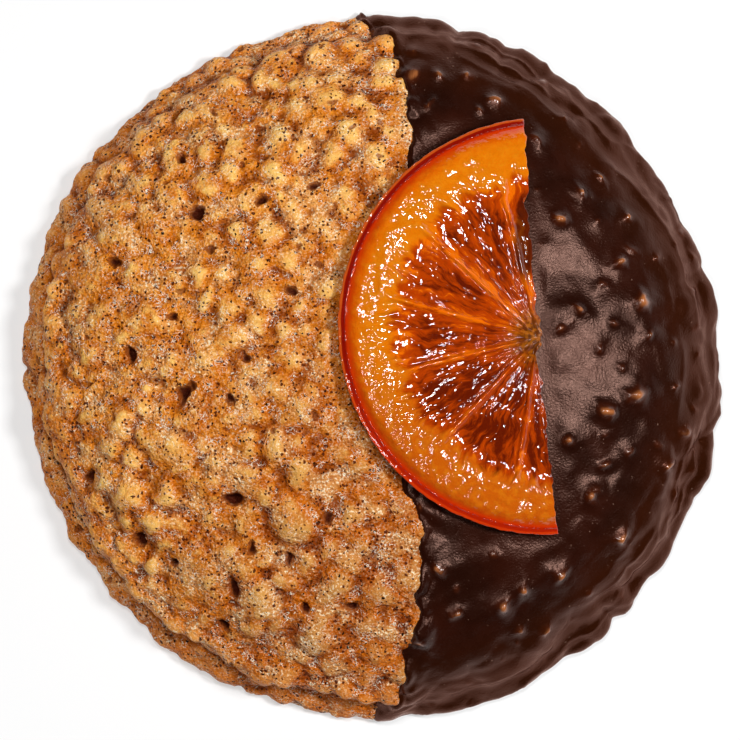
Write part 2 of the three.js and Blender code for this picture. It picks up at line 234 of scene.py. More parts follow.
table_walk = np.linspace(0, 1, TABLE_STEPS + 1) * CRUST_WALK
table_radius = section_point(np.interp(table_walk, walk_at_step, steps))[:, 0]
rising = np.argmax(np.diff(table_radius) <= 0) + 1


def crust_place(x, y):
    """The place on the crust above a plan position."""
    angle = np.arctan2(y, x)
    radius = np.hypot(x, y) / (1 + outline_stretch(angle))
    walked = np.interp(radius, table_radius[:rising], table_walk[:rising])
    return walked * np.cos(angle), walked * np.sin(angle)


def crust_height(x, y):
    return crust_point(*crust_place(x, y))[:, 2]


print(f"the crust is widest after {table_walk[rising - 1]:.1f} mm of walking")

# %% [markdown]
# ## Nubs and pores
# Nut pieces and trapped steam push the dough up into nubs, and where steam broke
# through it left small deep pores. Sculpting them would take hours. The largest are
# placed one by one and the rest are packed round them. Nubs stay low round a large
# pore, or else it would end up on a summit like a crater.

# %% The places of nubs and pores
LARGE_NUBS = [  # x, y, radius and height of each
    [-36.3, 11.4, 3.0, 1.3], [-34.3, 6.8, 2.4, 1.1], [-30.5, 12.7, 2.6, 1.1],
    [-25.5, 21.9, 2.6, 1.0], [-20.7, 33.2, 2.7, 1.0], [-5.4, 34.1, 2.6, 1.1],
    [-2.3, 21.3, 2.8, 1.1], [-21.4, 1.0, 2.8, 1.1], [-25.5, -10.6, 3.2, 1.4],
    [-31.1, -16.2, 3.1, 1.4], [-32.3, -6.7, 2.5, 1.1], [-39.5, -3.8, 2.6, 1.1],
    [-35.4, -18.0, 2.4, 1.0], [-9.9, -19.2, 3.4, 1.3], [-12.2, -10.6, 2.9, 1.2],
    [-14.5, -29.6, 3.2, 1.2], [-6.3, -34.3, 3.1, 1.2], [-38.2, -13.3, 2.3, 1.0],
    [-25.5, -33.6, 2.6, 1.1], [-13.4, 16.5, 2.3, 0.9],
]
LARGE_PORES = [  # x, y, radius and depth of each
    [-24.4, -3.2, 1.5, 1.2], [-23.3, -2.2, 1.2, 0.9], [-24.2, 27.2, 0.9, 1.2],
    [-22.3, 19.8, 1.0, 1.3], [-14.1, 21.1, 0.9, 1.2], [-7.1, 23.3, 0.9, 1.1],
    [-25.3, 6.7, 0.8, 1.1], [-30.9, 1.6, 1.0, 1.3], [-15.5, 1.5, 0.8, 1.1],
    [-10.7, 10.1, 0.8, 1.1], [-18.1, -3.7, 0.8, 1.1], [-17.6, -17.0, 1.5, 1.6],
    [-10.7, -24.9, 0.9, 1.2], [-18.1, -28.2, 1.0, 1.3], [-15.3, -23.3, 0.8, 1.1],
    [-8.3, -30.6, 1.1, 1.4], [-2.5, -30.9, 1.0, 1.3], [-19.0, -33.2, 1.1, 1.4],
    [-29.8, -22.0, 1.1, 1.3], [-25.5, -25.3, 1.0, 1.3], [-36.3, -13.8, 0.9, 1.2],
    [-32.9, 13.7, 0.9, 1.1], [-5.5, -19.0, 0.9, 1.1],
]
NUB_SPREAD, NUB_LIFT, PORE_SHRINK = 1.15, 1.22, 0.85  # against those of the solids
DIP_REACH = 2.8  # a low ring round a pore, in radii of the pore


def placed(bumps):
    """Rows of x, y, radius and height as rows of u, v, radius and height."""
    bumps = np.array(bumps, float)
    u, v = crust_place(bumps[:, 0], bumps[:, 1])
    return np.column_stack([u, v, bumps[:, 2:]])


def pack_bumps(first, seed, attempts, radii, steepnesses, packing):
    """Adds bumps at chance places, wherever they keep clear of those already there."""
    draw = random_stream(seed)
    rows = np.zeros((len(first) + attempts, 4))
    rows[: len(first)], count = first, len(first)
    for _ in range(attempts):
        walked = CRUST_WALK * math.sqrt(next(draw))
        angle = 2 * math.pi * next(draw)
        radius = between(*radii, next(draw))
        steepness = between(*steepnesses, next(draw))
        u, v = walked * math.cos(angle), walked * math.sin(angle)
        apart = np.hypot(rows[:count, 0] - u, rows[:count, 1] - v)
        if np.all(apart > packing * (rows[:count, 2] + radius)):
            rows[count] = u, v, radius, radius * steepness
            count += 1
    return rows[:count]


nubs = pack_bumps(
    placed(LARGE_NUBS), seed=11, attempts=9000,
    radii=(1.6, 2.9), steepnesses=(0.22, 0.5), packing=0.68,
)
nubs *= [1, 1, NUB_SPREAD, NUB_LIFT]
pores = pack_bumps(
    placed(LARGE_PORES), seed=5, attempts=330,
    radii=(0.3, 0.55), steepnesses=(1.0, 1.6), packing=3.0,
)
pores[: len(LARGE_PORES), 2] *= PORE_SHRINK
pore_dips = placed(LARGE_PORES) * [1, 1, DIP_REACH, 0] + [0, 0, 0, 1]
print(f"{len(nubs)} nubs and {len(pores)} pores")

# %% [markdown]
# ## Nubs at any place
# Neighbouring nubs grow into each other. Adding heights would pile them up, and taking
# the highest would leave creases like knife cuts. A sum of powers lies between. Noise
# makes round things uneven, and the relief is flatter under the slice, which was laid
# on while things were soft: a round rind, and two straight cuts from the hub.

# %% Height of the nubs at any place
PUSH_U = [(0.7, 2.9, 81), (0.18, 1.0, 82)]
PUSH_V = [(0.7, 2.9, 83), (0.18, 1.0, 84)]


def bump_relief(u, v, bumps, roundness, merge):
    """Rounded bumps joined into one surface; a higher merge leaves sharper creases."""
    total = np.zeros(len(u))
    for bump_u, bump_v, radius, height in bumps:
        near = np.flatnonzero((np.abs(u - bump_u) < radius) & (np.abs(v - bump_v) < radius))
        share = ((u[near] - bump_u) ** 2 + (v[near] - bump_v) ** 2) / radius**2
        cap = height * np.clip(1 - share, 0, 1) ** roundness
        total[near] += cap**merge
    return total ** (1 / merge)


def warped(u, v):
    """Places pushed about a little."""
    points = crust_point(u, v)
    return u + lumps(points, PUSH_U), v + lumps(points, PUSH_V)


SLICE_CENTRE, SLICE_RADIUS = np.array([22.6, 5.5]), 26.9
SLICE_HUB, SLICE_CUT = np.array([21.6, 4.0]), np.radians([94.1, 275.9])
PRESSED_MARGIN, PRESSED_SHARE = 2.0, 0.3
NUB_ROUNDNESS, NUB_MERGE, PORE_MERGE = 1.3, 2.7, 4
RISEN_SHARES, RISEN_PATCH, RISEN_SEED = (0.4, 1.15), 7.0, 87
DIP_SHARE = 0.75


def unpressed(u, v):
    """Share of the relief that is left: little under the slice, all of it clear of it."""
    x, y, _ = crust_point(u, v).T
    beyond_rind = np.hypot(x - SLICE_CENTRE[0], y - SLICE_CENTRE[1]) - SLICE_RADIUS
    cut = np.where(y > SLICE_HUB[1], *SLICE_CUT)
    along = (y - SLICE_HUB[1]) / np.sin(cut)
    beyond_cut = x - (SLICE_HUB[0] + along * np.cos(cut))
    clear = smooth_step(0, PRESSED_MARGIN, np.maximum(beyond_rind, beyond_cut))
    return between(PRESSED_SHARE, 1, clear)


def nub_relief(u, v):
    """Relief of the nubs: high in some places, sunk in the crumb in others."""
    patches = swell(crust_point(u, v), RISEN_PATCH, RISEN_SEED)
    risen = between(*RISEN_SHARES, smooth_step(-0.4, 0.45, patches))
    dipped = 1 - DIP_SHARE * bump_relief(u, v, pore_dips, 1.0, PORE_MERGE)
    rounded = bump_relief(*warped(u, v), nubs, NUB_ROUNDNESS, NUB_MERGE)
    return rounded * unpressed(u, v) * risen * dipped


print("relief left bare and under the slice:", unpressed(np.array([-20, 15]), np.zeros(2)))

# %% [markdown]
# ## Where the chocolate ends
# The chocolate ends where the tilted biscuit met the surface of the bath: a slanted
# plane, so a distance from it says what is covered. The edge runs on in the creases and
# draws back from the nubs.

# %% The edge of the dip
DIP_EDGE_X, DIP_LEAN = 5.8, 0.27
DIP_STRAYS = np.array([  # y, and how far the edge strays there
    [-50, -0.7], [-45.7, -0.7], [-43.7, 0.1], [-41.1, 0.7], [-38.5, 0.4], [-36.3, 0.8],
    [-32, 1.3], [-25, 1.0], [-20.3, 1.4], [-17.7, 0.3], [-15.8, -1.1], [-5, 0], [10, 0],
    [28.4, 0.2], [30.4, 1.1], [32.3, 0.3], [38.8, 0.2], [42, -0.3], [44.5, -2.5], [50, -5],
])
CRINKLES = [(0.4, 2.2, 71), (0.2, 0.9, 72)]
DRAWN_BACK, USUAL_RELIEF = 0.45, 0.6


def dip_line_distance(points):
    """Millimetres from the line of the dip, above zero on the dipped side."""
    x, y, z = points.T
    stray = np.interp(y, *DIP_STRAYS.T)
    return x - (DIP_EDGE_X - DIP_LEAN * (CROWN_HEIGHT - z)) - stray


def dip_distance(u, v, relief):
    """Millimetres from the crinkled edge of the chocolate, above zero where it covers."""
    points = crust_point(u, v)
    drawn_back = DRAWN_BACK * (relief - USUAL_RELIEF)
    return dip_line_distance(points) - lumps(points, CRINKLES) - drawn_back


dip_foot_x = DIP_EDGE_X - DIP_LEAN * CROWN_HEIGHT
print(f"the dip ends at x = {DIP_EDGE_X} mm on the crown and {dip_foot_x:.1f} mm at the floor")

# %% [markdown]
# ## Discs of triangles
# A dome needs triangles of even size from crown to edge. A UV sphere crowds them at the
# pole, so here the point count grows with each ring. Skirts and fans close the shells
# below.

# %% A disc mesh, skirts and fans
def disc(rings, sectors):
    """Share of the way out and turn for each point, and the triangles between rings."""
    share, turn, triangles = [np.zeros(1)], [np.zeros(1)], []
    start_inner = 0
    for ring in range(1, rings + 1):
        count = sectors * ring
        start = 1 + sectors * ring * (ring - 1) // 2
        share.append(np.full(count, ring / rings))
        own = np.arange(count)
        turn.append(own / count)
        sector, step = np.divmod(own, ring)
        outer, following = start + own, start + (own + 1) % count
        inner_count = max(sectors * (ring - 1), 1)
        inner = start_inner + (sector * (ring - 1) + step) % inner_count
        triangles.append(np.stack([outer, following, inner], axis=1))
        if ring > 1:
            fill = step < ring - 1
            inner_next = start_inner + (sector * (ring - 1) + step + 1) % inner_count
            triangles.append(np.stack([inner, following, inner_next], axis=1)[fill])
        start_inner = start
    return np.concatenate(share), np.concatenate(turn), np.concatenate(triangles)


def closing_fan(loop, centre):
    """Triangles from a loop of points to one more point."""
    return np.stack([np.roll(loop, -1), loop, np.full(len(loop), centre)], axis=1)


def skirt(upper, lower):
    """Triangles between two loops of points that run the same way."""
    upper_next, lower_next = np.roll(upper, -1), np.roll(lower, -1)
    return np.concatenate([
        np.stack([upper, lower, lower_next], axis=1),
        np.stack([upper, lower_next, upper_next], axis=1),
    ])


def close_below(top, sheets, loop, rings, last):
    """Closes a top face: skirts from its loop down rings of points, and a last point."""
    total = len(top)
    for _ in rings:
        lower = total + np.arange(len(loop))
        sheets.append(skirt(loop, lower))
        loop, total = lower, total + len(loop)
    sheets.append(closing_fan(loop, total))
    return np.vstack([top, *rings, last]), np.concatenate(sheets)


# %% [markdown]
# ## From arrays to a piece
# A finish has to know what lies where, so the mesh carries measures at its points for
# the nodes to read. Hollows are found by letting the heights spread to their
# neighbours.

# %% Hollows, and a piece with its measures
def hollowness(height, triangles, rounds):
    """Millimetres that each point lies below its surroundings."""
    pairs = np.concatenate([triangles[:, [0, 1]], triangles[:, [1, 2]], triangles[:, [2, 0]]])
    start, end = pairs.T
    count = np.bincount(start, minlength=len(height))
    spread = height
    for _ in range(rounds):
        spread = (spread + np.bincount(start, spread[end], len(height)) / count) / 2
    return spread - height


def add_piece(name, points, triangles, measures, node):
    """A smooth mesh from points in millimetres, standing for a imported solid."""
    mesh = bpy.data.meshes.new(name)
    mesh.from_pydata((points * MM).tolist(), [], triangles.tolist())
    mesh.shade_smooth()
    for label, values in measures.items():
        layer = mesh.attributes.new(label, "FLOAT", "POINT")
        layer.data.foreach_set("value", np.asarray(values, np.float32))
    piece = bpy.data.objects.new(name, mesh)
    bpy.context.scene.collection.objects.link(piece)
    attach(piece, "root")
    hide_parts(node)
    size = points.max(0) - points.min(0)
    print(f"{name}: {len(triangles)} triangles, {np.round(size, 1)} mm")
    return piece


# %% [markdown]
# ## The relief of the crust
# The bare side carries all the detail: nubs, small pebbly bumps, crumb finer still, and
# pores. Above the foot the dough rolled over, with a groove under the roll, deepest
# towards the front left.

# %% Layers of the bare crust
LEDGE_FACING = math.radians(225)
LEDGE_STRAYS = [(1.0, 6.0, 88), (0.5, 2.6, 89)]
ROLL_WALK, ROLL_WIDTH, ROLL_HEIGHT = 44.2, 1.4, 0.5
GROOVE_WALK, GROOVE_WIDTH, GROOVE_DEPTH = 46.9, 0.8, 0.7
FOOT_DRAWN_IN, FOOT_SMOOTHED = 0.45, 0.25
PEBBLE_SIZE, PEBBLE_SEED, PEBBLE_HEIGHT, USUAL_PEBBLE = 2.2, 31, 0.35, 0.4
CRUMB_LAYERS = [(0.16, 0.8, 41), (0.08, 0.4, 42), (0.45, 4.2, 43)]
PORE_PUSH, PORE_PUSH_SIZE, PORE_ROUNDNESS = 0.4, 1.2, 0.8


def foot_ledge(u, v):
    """Relief of the roll above the foot, and the share of nubs left below it."""
    walked = np.hypot(u, v) + lumps(crust_point(u, v), LEDGE_STRAYS)
    facing = np.cos(np.arctan2(v, u) - LEDGE_FACING)
    clear = between(0.35, 1.0, smooth_step(-0.2, 0.8, facing))
    roll = ROLL_HEIGHT * np.exp(-(((walked - ROLL_WALK) / ROLL_WIDTH) ** 2))
    groove = GROOVE_DEPTH * np.exp(-(((walked - GROOVE_WALK) / GROOVE_WIDTH) ** 2))
    low = smooth_step(ROLL_WALK, GROOVE_WALK, walked)
    return clear * (roll - groove) - FOOT_DRAWN_IN * low, 1 - FOOT_SMOOTHED * clear * low


def crust_relief(u, v):
    """Relief of the nubs, all relief together, and the pores' part of it."""
    points = crust_point(u, v)
    broad = nub_relief(u, v)
    rough = 1 - 0.6 * smooth_step(0.5, 1.1, broad)
    pebbly = PEBBLE_HEIGHT * (pebbles(points, PEBBLE_SIZE, PEBBLE_SEED) - USUAL_PEBBLE)
    fine = pebbly + lumps(points, CRUMB_LAYERS)
    pore_u, pore_v = warped(u, v)
    pore_u = pore_u + PORE_PUSH * swell(points, PORE_PUSH_SIZE, 85)
    pore_v = pore_v + PORE_PUSH * swell(points, PORE_PUSH_SIZE, 86)
    pits = bump_relief(pore_u, pore_v, pores, PORE_ROUNDNESS, PORE_MERGE)
    ledge, nubby = foot_ledge(u, v)
    return broad, broad * nubby + ledge + rough * fine - pits, pits


# %% [markdown]
# ## The baked crust
# One disc becomes the whole biscuit, with its points crowded towards the bare side.
# Under the chocolate the surface drops back to make room. The mesh also notes where its
# colour is to be painted darker, towards the front right, and where its wall is.

# %% Build the biscuit
CRUST_RINGS, CRUST_SECTORS = 220, 4
BARE_CROWDING = 0.4
RECESS_DEPTH, HOLLOW_ROUNDS = 1.4, 40
# the colour is painted darker towards the front right, along this direction
DARKER_RANGE, DARKER_TOWARDS = (-45, 30), (1.3, -0.8)
WALL_RANGE = (38, 48)

share, turn, triangles = disc(CRUST_RINGS, CRUST_SECTORS)
angle = 2 * math.pi * turn + BARE_CROWDING * np.sin(2 * math.pi * turn)
walked = share * CRUST_WALK
u, v = walked * np.cos(angle), walked * np.sin(angle)
broad, relief, pits = crust_relief(u, v)
covered = smooth_step(0.1, 0.7, dip_distance(u, v, broad))[:, None]
crust = between(crust_point(u, v, relief), inner_point(u, v, RECESS_DEPTH), covered)
edge = np.arange(len(crust) - CRUST_SECTORS * CRUST_RINGS, len(crust))
crust = np.vstack([crust, [[dip_foot_x, 0, 0]]])
triangles = np.concatenate([triangles, closing_fan(edge, len(crust) - 1)])
measures = {
    "hollow": hollowness(np.append(relief + pits, 0), triangles, HOLLOW_ROUNDS),
    "pit": np.append(pits, 0),
    "darker_front_right": smooth_step(*DARKER_RANGE, crust[:, :2] @ DARKER_TOWARDS),
    "wall": np.append(smooth_step(*WALL_RANGE, walked), 1),
}
biscuit = add_piece("baked_crust", crust, triangles, measures, "biscuit")

# %% [markdown]
# ## Nuts under the chocolate
# Dark chocolate runs off the nubs and pools between them. Over a piece of nut it hangs
# like a cloth over a pole: a rounded tip, a hollow skirt, and ridges between near
# poles. A Metaball would round all of that off.

# %% Tips and skirts
NUT_TIPS = [  # x, y, radius and height of each
    [21.9, 36.9, 2.4, 1.3], [13.5, 41.0, 1.8, 1.1], [24.4, 31.7, 1.6, 1.0],
    [20.5, 29.8, 1.8, 1.0], [29.1, 24.5, 1.6, 1.1], [26.6, 22.3, 1.5, 0.9],
    [23.9, 19.2, 1.8, 1.2], [33.3, 18.8, 1.5, 1.0], [39.7, 17.5, 1.9, 1.1],
    [31.7, 13.2, 1.6, 1.0], [34.8, 8.5, 2.0, 1.2], [26.1, 7.5, 1.7, 1.0],
    [41.0, 10.1, 1.7, 1.0], [33.7, -3.3, 2.4, 1.4], [30.0, -5.1, 1.8, 1.1],
    [25.3, -9.0, 1.7, 1.0], [28.5, -16.2, 1.7, 1.0], [32.0, -21.4, 2.6, 1.5],
    [24.2, -26.1, 1.9, 1.2], [16.7, -30.1, 2.2, 1.3], [19.4, -28.1, 1.8, 1.1],
    [22.2, -33.5, 1.9, 1.2], [10.9, -31.0, 2.0, 1.2], [9.0, -25.5, 2.0, 1.1],
    [40.2, -8.1, 1.8, 1.1], [38.1, -12.3, 1.7, 1.0], [38.9, -16.3, 1.7, 1.0],
    [12.4, 37.5, 1.7, 1.0], [5.3, 37.4, 1.7, 1.0], [15.9, 34.4, 1.5, 0.8],
    [9.0, 37.4, 1.6, 0.8], [5.3, 40.5, 1.7, 0.9], [22.6, 39.6, 1.8, 1.0],
    [24.6, 5.8, 1.2, 0.5], [41.5, 5.3, 1.4, 0.6], [27.8, -28.9, 1.4, 0.7],
    [6.6, -34.6, 1.6, 0.8], [18.9, -33.3, 1.4, 0.6], [41.4, -5.3, 1.4, 0.7],
    [29.7, -12.2, 1.3, 0.5], [15.8, -23.5, 1.3, 0.5],
]
DRAINED_WALK = (36, 46)  # here the coat ran thin, down the wall
TIP_LIFT, DRAINED_TIPS = 0.85, 0.7
TIP_ROUNDING, SKIRT_SHARE, TENT_MERGE = 0.45, 0.45, 1.6
TIP_SHARE, FULL_TIP = 0.32, 0.6
tips = pack_bumps(
    placed(NUT_TIPS), seed=9, attempts=260,
    radii=(0.8, 1.3), steepnesses=(0.25, 0.5), packing=1.0,
)
drained = smooth_step(*DRAINED_WALK, np.hypot(tips[:, 0], tips[:, 1]))
tips[:, 3] *= TIP_LIFT * (1 - DRAINED_TIPS * drained)


def tented(u, v, poles):
    """Height of a cloth over poles, and where it is stretched over their tips."""
    height, tip = np.zeros(len(u)), np.zeros(len(u))
    for pole_u, pole_v, radius, rise in poles:
        apart = np.hypot(u - pole_u, v - pole_v)
        rounded = np.sqrt(apart**2 + TIP_ROUNDING**2) - TIP_ROUNDING
        height += (rise * np.exp(-rounded / (radius * SKIRT_SHARE))) ** TENT_MERGE
        strength = min(1, rise / FULL_TIP)
        tip = np.maximum(tip, strength * np.exp(-((apart / (radius * TIP_SHARE)) ** 2)))
    return height ** (1 / TENT_MERGE), tip


print(f"{len(tips)} nut tips under the chocolate")

# %% [markdown]
# ## The relief of the coat
# A Solidify modifier on the crust would keep every crease. A real coat is softer, with
# folds and scallops where it ran down the wall. It thins towards the foot, most where
# it dripped last, and ends in a rounded bead.

# %% Folds, swells and the beaded edge
COAT_PROUD, SHOWING_SHARES = 0.4, (0.1, 0.3)  # nubs show more on the wall
SLOW_SWELLS = [(0.3, 6.5, 51), (0.12, 3.0, 52)]
TIP_PUSH, TIP_PEAK = 0.35, 0.32
FOLD_TURNS, FOLD_SPACING, FOLD_STRAY, FOLD_HEIGHTS = 3.4, 2.6, 0.5, (0.05, 0.38)
SCALLOP_TURNS, SCALLOP_RUN, SCALLOP_HEIGHT, USUAL_SCALLOP = 6.6, 14.0, 0.95, 0.25
LAST_DRIP = math.radians(305)
THINNED, THINNED_WALK = (0.4, 0.95), (39, 49)
EDGE_THICKNESS, EDGE_WIDTH, EDGE_BLEND = 0.45, 0.8, (0.3, 4.0)


def run_down(points, walked, angle, drained):
    """Thin folds and broad scallops of chocolate that ran down the wall."""
    wander = walked / FOLD_SPACING + FOLD_STRAY * swell(points, 7.0, 55)
    ridges = (1 - np.abs(swell(flat(angle * FOLD_TURNS, wander), 1.0, 53))) ** 2
    waves = np.abs(swell(flat(angle * SCALLOP_TURNS, walked / SCALLOP_RUN), 1.0, 56))
    scallops = SCALLOP_HEIGHT * drained**2 * (waves - USUAL_SCALLOP)
    return between(*FOLD_HEIGHTS, drained**2) * ridges + scallops


def coat_relief(u, v):
    """Relief of the coat, where nut tips lie under it, and where it ran down."""
    points = crust_point(u, v)
    walked, angle = np.hypot(u, v), np.arctan2(v, u)
    broad = nub_relief(u, v)
    open_share = (unpressed(u, v) - PRESSED_SHARE) / (1 - PRESSED_SHARE)
    tip_u, tip_v = warped(u, v)
    skirts, tip = tented(tip_u + TIP_PUSH * swell(points, 1.1, 57), tip_v, tips)
    drained = smooth_step(*DRAINED_WALK, walked)
    folds = run_down(points, walked, angle, drained)
    dripped = np.clip(np.cos(angle - LAST_DRIP), 0, 1) ** 2
    thinned = between(*THINNED, dripped) * smooth_step(*THINNED_WALK, walked)
    free = COAT_PROUD + between(*SHOWING_SHARES, drained) * broad - thinned
    free += (skirts + TIP_PEAK * tip + lumps(points, SLOW_SWELLS) + folds) * open_share
    distance = dip_distance(u, v, broad)
    climb = np.sqrt(1 - (1 - np.clip(distance / EDGE_WIDTH, 0, 1)) ** 2)
    sunk = smooth_step(0, 1, -distance / EDGE_WIDTH)
    beaded = broad + EDGE_THICKNESS * climb - 0.05 - 0.5 * sunk
    return between(beaded, free, smooth_step(*EDGE_BLEND, distance)), tip * open_share, drained


print("the coat on the wall, in mm:", coat_relief(np.full(1, 41.0), np.zeros(1))[0].round(2))

# %% [markdown]
# ## The chocolate
# The coat is a closed shell, so it needs a rim. It is found by halving: lines run out
# from a point on the dipped side until they are just under the bare crust. A disc is
# stretched to that rim and lifted by the relief. A few shrinking rings make the hidden
# inner face, with no boolean and no stray face.

# %% Build the chocolate
COAT_RINGS, COAT_SECTORS = 170, 6
COAT_MIDDLE = np.array([22.0, 0.0])
COAT_OVERLAP = 1.3  # how far the coat runs on under the bare crust
RIM_PROBES, RIM_HALVINGS, CORNER_ROUNDING = 20000, 40, 41


def coat_rim(count):
    """Evenly spaced places of the coat's rim."""
    angle = np.linspace(0, 2 * math.pi, RIM_PROBES)
    near, far = np.zeros_like(angle), np.full_like(angle, 2 * CRUST_WALK)
    for _ in range(RIM_HALVINGS):
        reach = (near + far) / 2
        u = COAT_MIDDLE[0] + reach * np.cos(angle)
        v = COAT_MIDDLE[1] + reach * np.sin(angle)
        within = np.hypot(u, v) < CRUST_WALK + UNDER_WALK
        inside = within & (dip_line_distance(crust_point(u, v)) > -COAT_OVERLAP)
        near, far = np.where(inside, reach, near), np.where(inside, far, reach)
    run = np.append(0, np.cumsum(np.hypot(np.diff(u), np.diff(v))))
    even = np.arange(count) / count * run[-1]
    window = np.hanning(CORNER_ROUNDING + 2)[1:-1]
    padded = np.arange(-(CORNER_ROUNDING // 2), count + CORNER_ROUNDING // 2) % count
    return tuple(
        np.convolve(np.interp(even, run, way)[padded], window / window.sum(), "valid")
        for way in (u, v)
    )


rim_count = COAT_SECTORS * COAT_RINGS
rim_u, rim_v = coat_rim(rim_count)
print(f"the rim spans {rim_u.max() - rim_u.min():.1f} by {rim_v.max() - rim_v.min():.1f} mm")

COAT_INNER_DEPTH = 1.1
INNER_RINGS = (1.0, 0.97, 0.9, 0.75, 0.5, 0.25)

share, turn, triangles = disc(COAT_RINGS, COAT_SECTORS)
rim_turn = np.arange(rim_count) / rim_count
u, v = (
    middle + share * (np.interp(turn, rim_turn, way, period=1) - middle)
    for middle, way in zip(COAT_MIDDLE, (rim_u, rim_v))
)
offset, tip, drained = coat_relief(u, v)
loop = np.arange(len(u) - rim_count, len(u))
middle = COAT_MIDDLE[:, None]
rim = np.stack([u, v])[:, -rim_count:]
rings = [
    inner_point(*(middle + (rim - middle) * inward), COAT_INNER_DEPTH)
    for inward in (*INNER_RINGS, 0.0)
]
coat_points, coat_triangles = close_below(
    crust_point(u, v, offset), [triangles], loop, rings[:-1], rings[-1][:1]
)
hidden = np.zeros(len(coat_points) - len(tip))
chocolate = add_piece(
    "chocolate_coat", coat_points, coat_triangles,
    {"tip": np.append(tip, hidden), "drained": np.append(drained, hidden)},
    "chocolate",
)

# %% [markdown]
# ## The candied orange
# Half a slice, boiled in syrup and dried until it is limp and clear: a red-orange rind,
# a band of pith turned to amber jelly, and sunken pulp between membranes. Its points
# fan out from the hub like those membranes, by shares of the sweep and of the reach.
# The straight cut is torn a little.

# %% Plan of the slice
CUT_STRAYS = np.array([  # y, and how far the cut strays there
    [-22, 0], [-18.4, -0.2], [-9.3, -0.3], [-5.7, -0.3], [-3.2, -0.5], [-1.9, -0.2],
    [0.1, -0.6], [1.9, -0.8], [3.1, 0.3], [6.3, 0.2], [7.9, -0.4], [9.4, 0.1],
    [11.1, -0.3], [18.7, -0.3], [21.6, -0.7], [23.2, 0], [33, 0],
])
TORN_SHARE, TORN_DEPTH, RIND_UNEVEN = 0.12, 0.25, 0.004


def slice_reach(angle):
    """Distance from the hub to the outside of the rind."""
    dx, dy = SLICE_HUB - SLICE_CENTRE
    toward = dx * np.cos(angle) + dy * np.sin(angle)
    return np.sqrt(toward**2 + SLICE_RADIUS**2 - dx * dx - dy * dy) - toward


def slice_plan(sweep, reach):
    """Plan position, direction and distance from the hub for shares of sweep and reach."""
    angle = between(*SLICE_CUT, sweep)
    uneven = 1 + RIND_UNEVEN * swell(flat(angle * SLICE_RADIUS, 0 * angle), 0.9, 70)
    distance = slice_reach(angle) * reach * uneven
    y = SLICE_HUB[1] + distance * np.sin(angle)
    torn = np.clip(1 - np.minimum(sweep, 1 - sweep) / TORN_SHARE, 0, 1)
    ragged = TORN_DEPTH * torn * swell(flat(0 * y, y), 0.9, 69)
    stray = np.interp(y, *CUT_STRAYS.T) + ragged
    return SLICE_HUB[0] + distance * np.cos(angle) + torn * stray, y, angle, distance


print("from hub to rind in mm:", slice_reach(np.radians([94, 185, 276])).round(1))

# %% [markdown]
# ## Thick and thin
# The slice dried unevenly: it is thickest in the pith, the pulp sank and frays into it,
# and a membrane stands up between every two segments. Syrup wrinkled over it all.

# %% Thickness of the slice
RIM_THICKNESS, PULP_THICKNESS = 2.8, 1.9
MEMBRANES = np.radians([103, 137, 165, 194, 227, 261])
MEMBRANE_HEIGHT, RIDGE_WIDTH, SEAM_WIDTH = 0.4, 0.6, 0.8
HUB_RADIUS, HUB_HEIGHT = 5, 0.5
PITH_WIDTH, PULP_EDGE = 6.5, (-1.4, 2.0)
STRAND_TURNS, STRAND_LENGTH = 16, 5
FRAY, SAC_HEIGHT, GRAIN_HEIGHT = 0.9, 0.09, 0.12
GLAZE_HEIGHTS, CREASE_HEIGHT = (0.16, 0.05), 0.06
RIND_WIDTH, RIND_DROP = 2.6, 0.75


def slice_thickness(angle, distance, x, y):
    """Thickness in millimetres, and how much each point is pulp and is near a membrane."""
    to_rind = slice_reach(angle) - distance
    off = np.abs(distance[:, None] * np.sin(angle[:, None] - MEMBRANES[None, :])).min(1)
    seam = np.exp(-off / SEAM_WIDTH)
    plan = flat(x, y)
    bent = angle + 0.05 * swell(plan, 3.0, 67)
    strand = flat(bent * STRAND_TURNS, distance / STRAND_LENGTH)
    frayed = to_rind - 1.4 * seam + FRAY * swell(strand, 0.8, 66)
    in_pulp = smooth_step(PITH_WIDTH + PULP_EDGE[0], PITH_WIDTH + PULP_EDGE[1], frayed)
    ridge = MEMBRANE_HEIGHT * smooth_step(RIDGE_WIDTH, 0, off)
    sacs = SAC_HEIGHT * swell(strand, 1.0, 61) * smooth_step(1.5, 5.0, distance)
    pulp = PULP_THICKNESS + in_pulp * (ridge + sacs)
    puckered = smooth_step(0.8, 4.0, to_rind) * (1 - 0.4 * in_pulp)
    patches = smooth_step(-0.2, 0.5, swell(plan, 3.0, 65))
    creases = (1 - np.abs(swell(plan, 0.9, 64))) ** 2 * patches
    slow = between(*GLAZE_HEIGHTS, in_pulp) * swell(plan, 2.2, 63)
    glaze = slow * between(0.5, 1.0, puckered) + CREASE_HEIGHT * puckered * creases
    grainy = GRAIN_HEIGHT * swell(plan, 0.8, 68) * smooth_step(5.0, 2.0, distance)
    hub = HUB_HEIGHT * smooth_step(HUB_RADIUS, 0, distance)
    rim = (RIM_THICKNESS - PULP_THICKNESS) * (1 - in_pulp)
    low_rim = 0.3 * smooth_step(5.0, 0.5, to_rind)
    rounding = RIND_DROP * smooth_step(RIND_WIDTH, 0, to_rind)
    return pulp + glaze + grainy + hub + rim - low_rim - rounding, in_pulp, seam


# %% [markdown]
# ## Laying the slice down
# The slice is limp and sags over the dome, so its top is the height of the crust plus a
# thickness. A side wall goes down from its outline, and rings close the underside.

# %% Build the slice
SLICE_SPOKES, SLICE_RINGS = 500, 190
SLICE_LIFT, SLICE_BED = 1.0, 0.5
BED_RINGS = (1.0, 0.8, 0.5, 0.2)
GLASSY_SPOT, GLASSY_SIZE = (19.8, 16.7), (1.5, 5.5)

